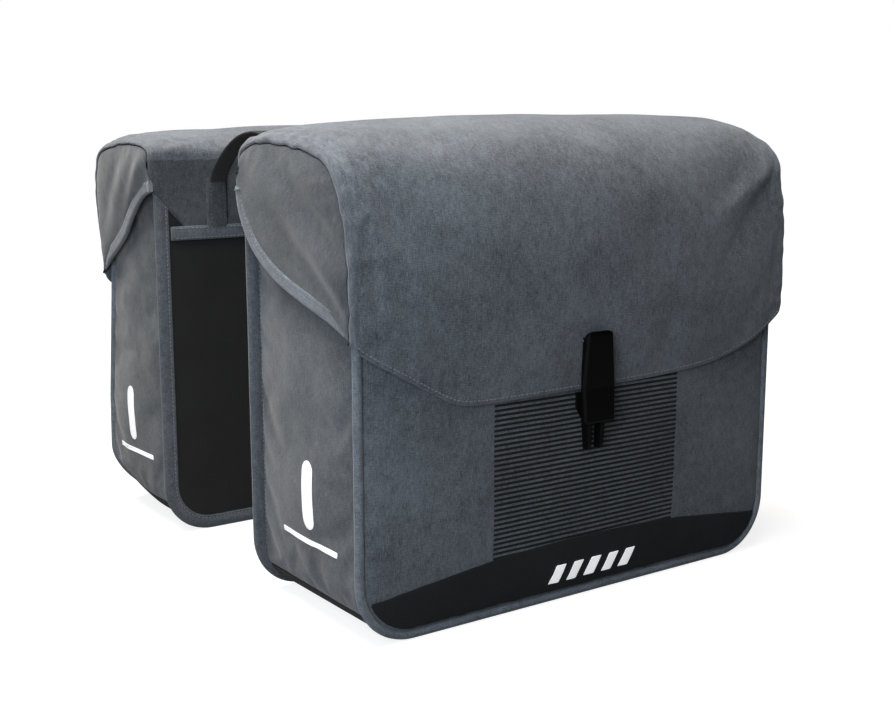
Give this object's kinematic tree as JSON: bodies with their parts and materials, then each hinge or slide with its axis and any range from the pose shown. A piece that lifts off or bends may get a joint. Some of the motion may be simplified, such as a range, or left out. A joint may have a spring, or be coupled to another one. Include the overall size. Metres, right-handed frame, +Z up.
{
  "type": "double bicycle pannier",
  "caption": "Boxy lidded fabric pannier bags joined by webbing straps that lie over a rear rack, with fold-back lids held by plastic buckles.",
  "frame": {"origin": "on the ground, midway between the two bags", "axes": "+X forward along the bicycle, +Y left, +Z up"},
  "size_m": [0.4006, 0.489, 0.35],
  "materials": {
    "canvas": "blue-grey melange canvas, matt with a fine upright slub",
    "side_canvas": "grey melange canvas, matt",
    "binding_tape": "grey woven tape, matt",
    "black_fabric": "near-black coated fabric, matt",
    "webbing": "dark ribbed webbing",
    "padding": "soft padding, hidden",
    "board": "stiffening board, hidden",
    "black_plastic": "black moulded plastic, satin",
    "rivet_steel": "plain steel",
    "reflective_film": "pale reflective film"
  },
  "bodies": {
    "bridge": {"bridge_straps": "webbing"},
    "right_bag": {"right_back_panel": "black_fabric", "right_back_binding": "binding_tape", "right_back_board": "board", "right_fore_side_panel": "side_canvas", "right_aft_side_panel": "side_canvas", "right_bottom_panel": "black_fabric", "right_bottom_board": "board", "right_front_panel": "canvas", "right_front_piping": "binding_tape", "right_lower_band": "black_fabric", "right_mouth_hem": "binding_tape", "right_lid_rear_flap": "canvas", "right_hem_tape": "binding_tape", "right_strap_ends": "webbing", "right_side_reflectors": "reflective_film", "right_band_reflectors": "reflective_film", "right_catch": "black_plastic", "right_catch_rivets": "rivet_steel"},
    "right_lid": {"right_lid_panel": "canvas", "right_fore_lid_wing": "side_canvas", "right_aft_lid_wing": "side_canvas", "right_wing_binding": "binding_tape", "right_lid_foam": "padding", "right_buckle_base": "black_plastic", "right_buckle_rivets": "rivet_steel", "right_buckle_pin": "rivet_steel"},
    "right_buckle": {"right_buckle_lever": "black_plastic"},
    "left_bag": {"left_back_panel": "black_fabric", "left_back_binding": "binding_tape", "left_back_board": "board", "left_fore_side_panel": "side_canvas", "left_aft_side_panel": "side_canvas", "left_bottom_panel": "black_fabric", "left_bottom_board": "board", "left_front_panel": "canvas", "left_front_piping": "binding_tape", "left_lower_band": "black_fabric", "left_mouth_hem": "binding_tape", "left_lid_rear_flap": "canvas", "left_hem_tape": "binding_tape", "left_strap_ends": "webbing", "left_side_reflectors": "reflective_film", "left_band_reflectors": "reflective_film", "left_catch": "black_plastic", "left_catch_rivets": "rivet_steel"},
    "left_lid": {"left_lid_panel": "canvas", "left_fore_lid_wing": "side_canvas", "left_aft_lid_wing": "side_canvas", "left_wing_binding": "binding_tape", "left_lid_foam": "padding", "left_buckle_base": "black_plastic", "left_buckle_rivets": "rivet_steel", "left_buckle_pin": "rivet_steel"},
    "left_buckle": {"left_buckle_lever": "black_plastic"}
  },
  "joints": [
    {"name": "right_bag_swing", "type": "hinge", "parent": "bridge", "child": "right_bag", "pos_m": [0, -0.043, 0.32874], "axis": [-1, 0, 0], "range_deg": [-13, 45]},
    {"name": "right_lid_fold", "type": "hinge", "parent": "right_bag", "child": "right_lid", "pos_m": [0, -0.0784, 0.316], "axis": [-1, 0, 0], "range_deg": [0, 100]},
    {"name": "right_buckle_turn", "type": "hinge", "parent": "right_lid", "child": "right_buckle", "pos_m": [0, -0.2374, 0.195], "axis": [-1, 0, 0], "range_deg": [0, 40]},
    {"name": "left_bag_swing", "type": "hinge", "parent": "bridge", "child": "left_bag", "pos_m": [0, 0.043, 0.32874], "axis": [-1, 0, 0], "range_deg": [-45, 13]},
    {"name": "left_lid_fold", "type": "hinge", "parent": "left_bag", "child": "left_lid", "pos_m": [0, 0.0784, 0.316], "axis": [-1, 0, 0], "range_deg": [-100, 0]},
    {"name": "left_buckle_turn", "type": "hinge", "parent": "left_lid", "child": "left_buckle", "pos_m": [0, 0.2374, 0.195], "axis": [-1, 0, 0], "range_deg": [-40, 0]}
  ]
}
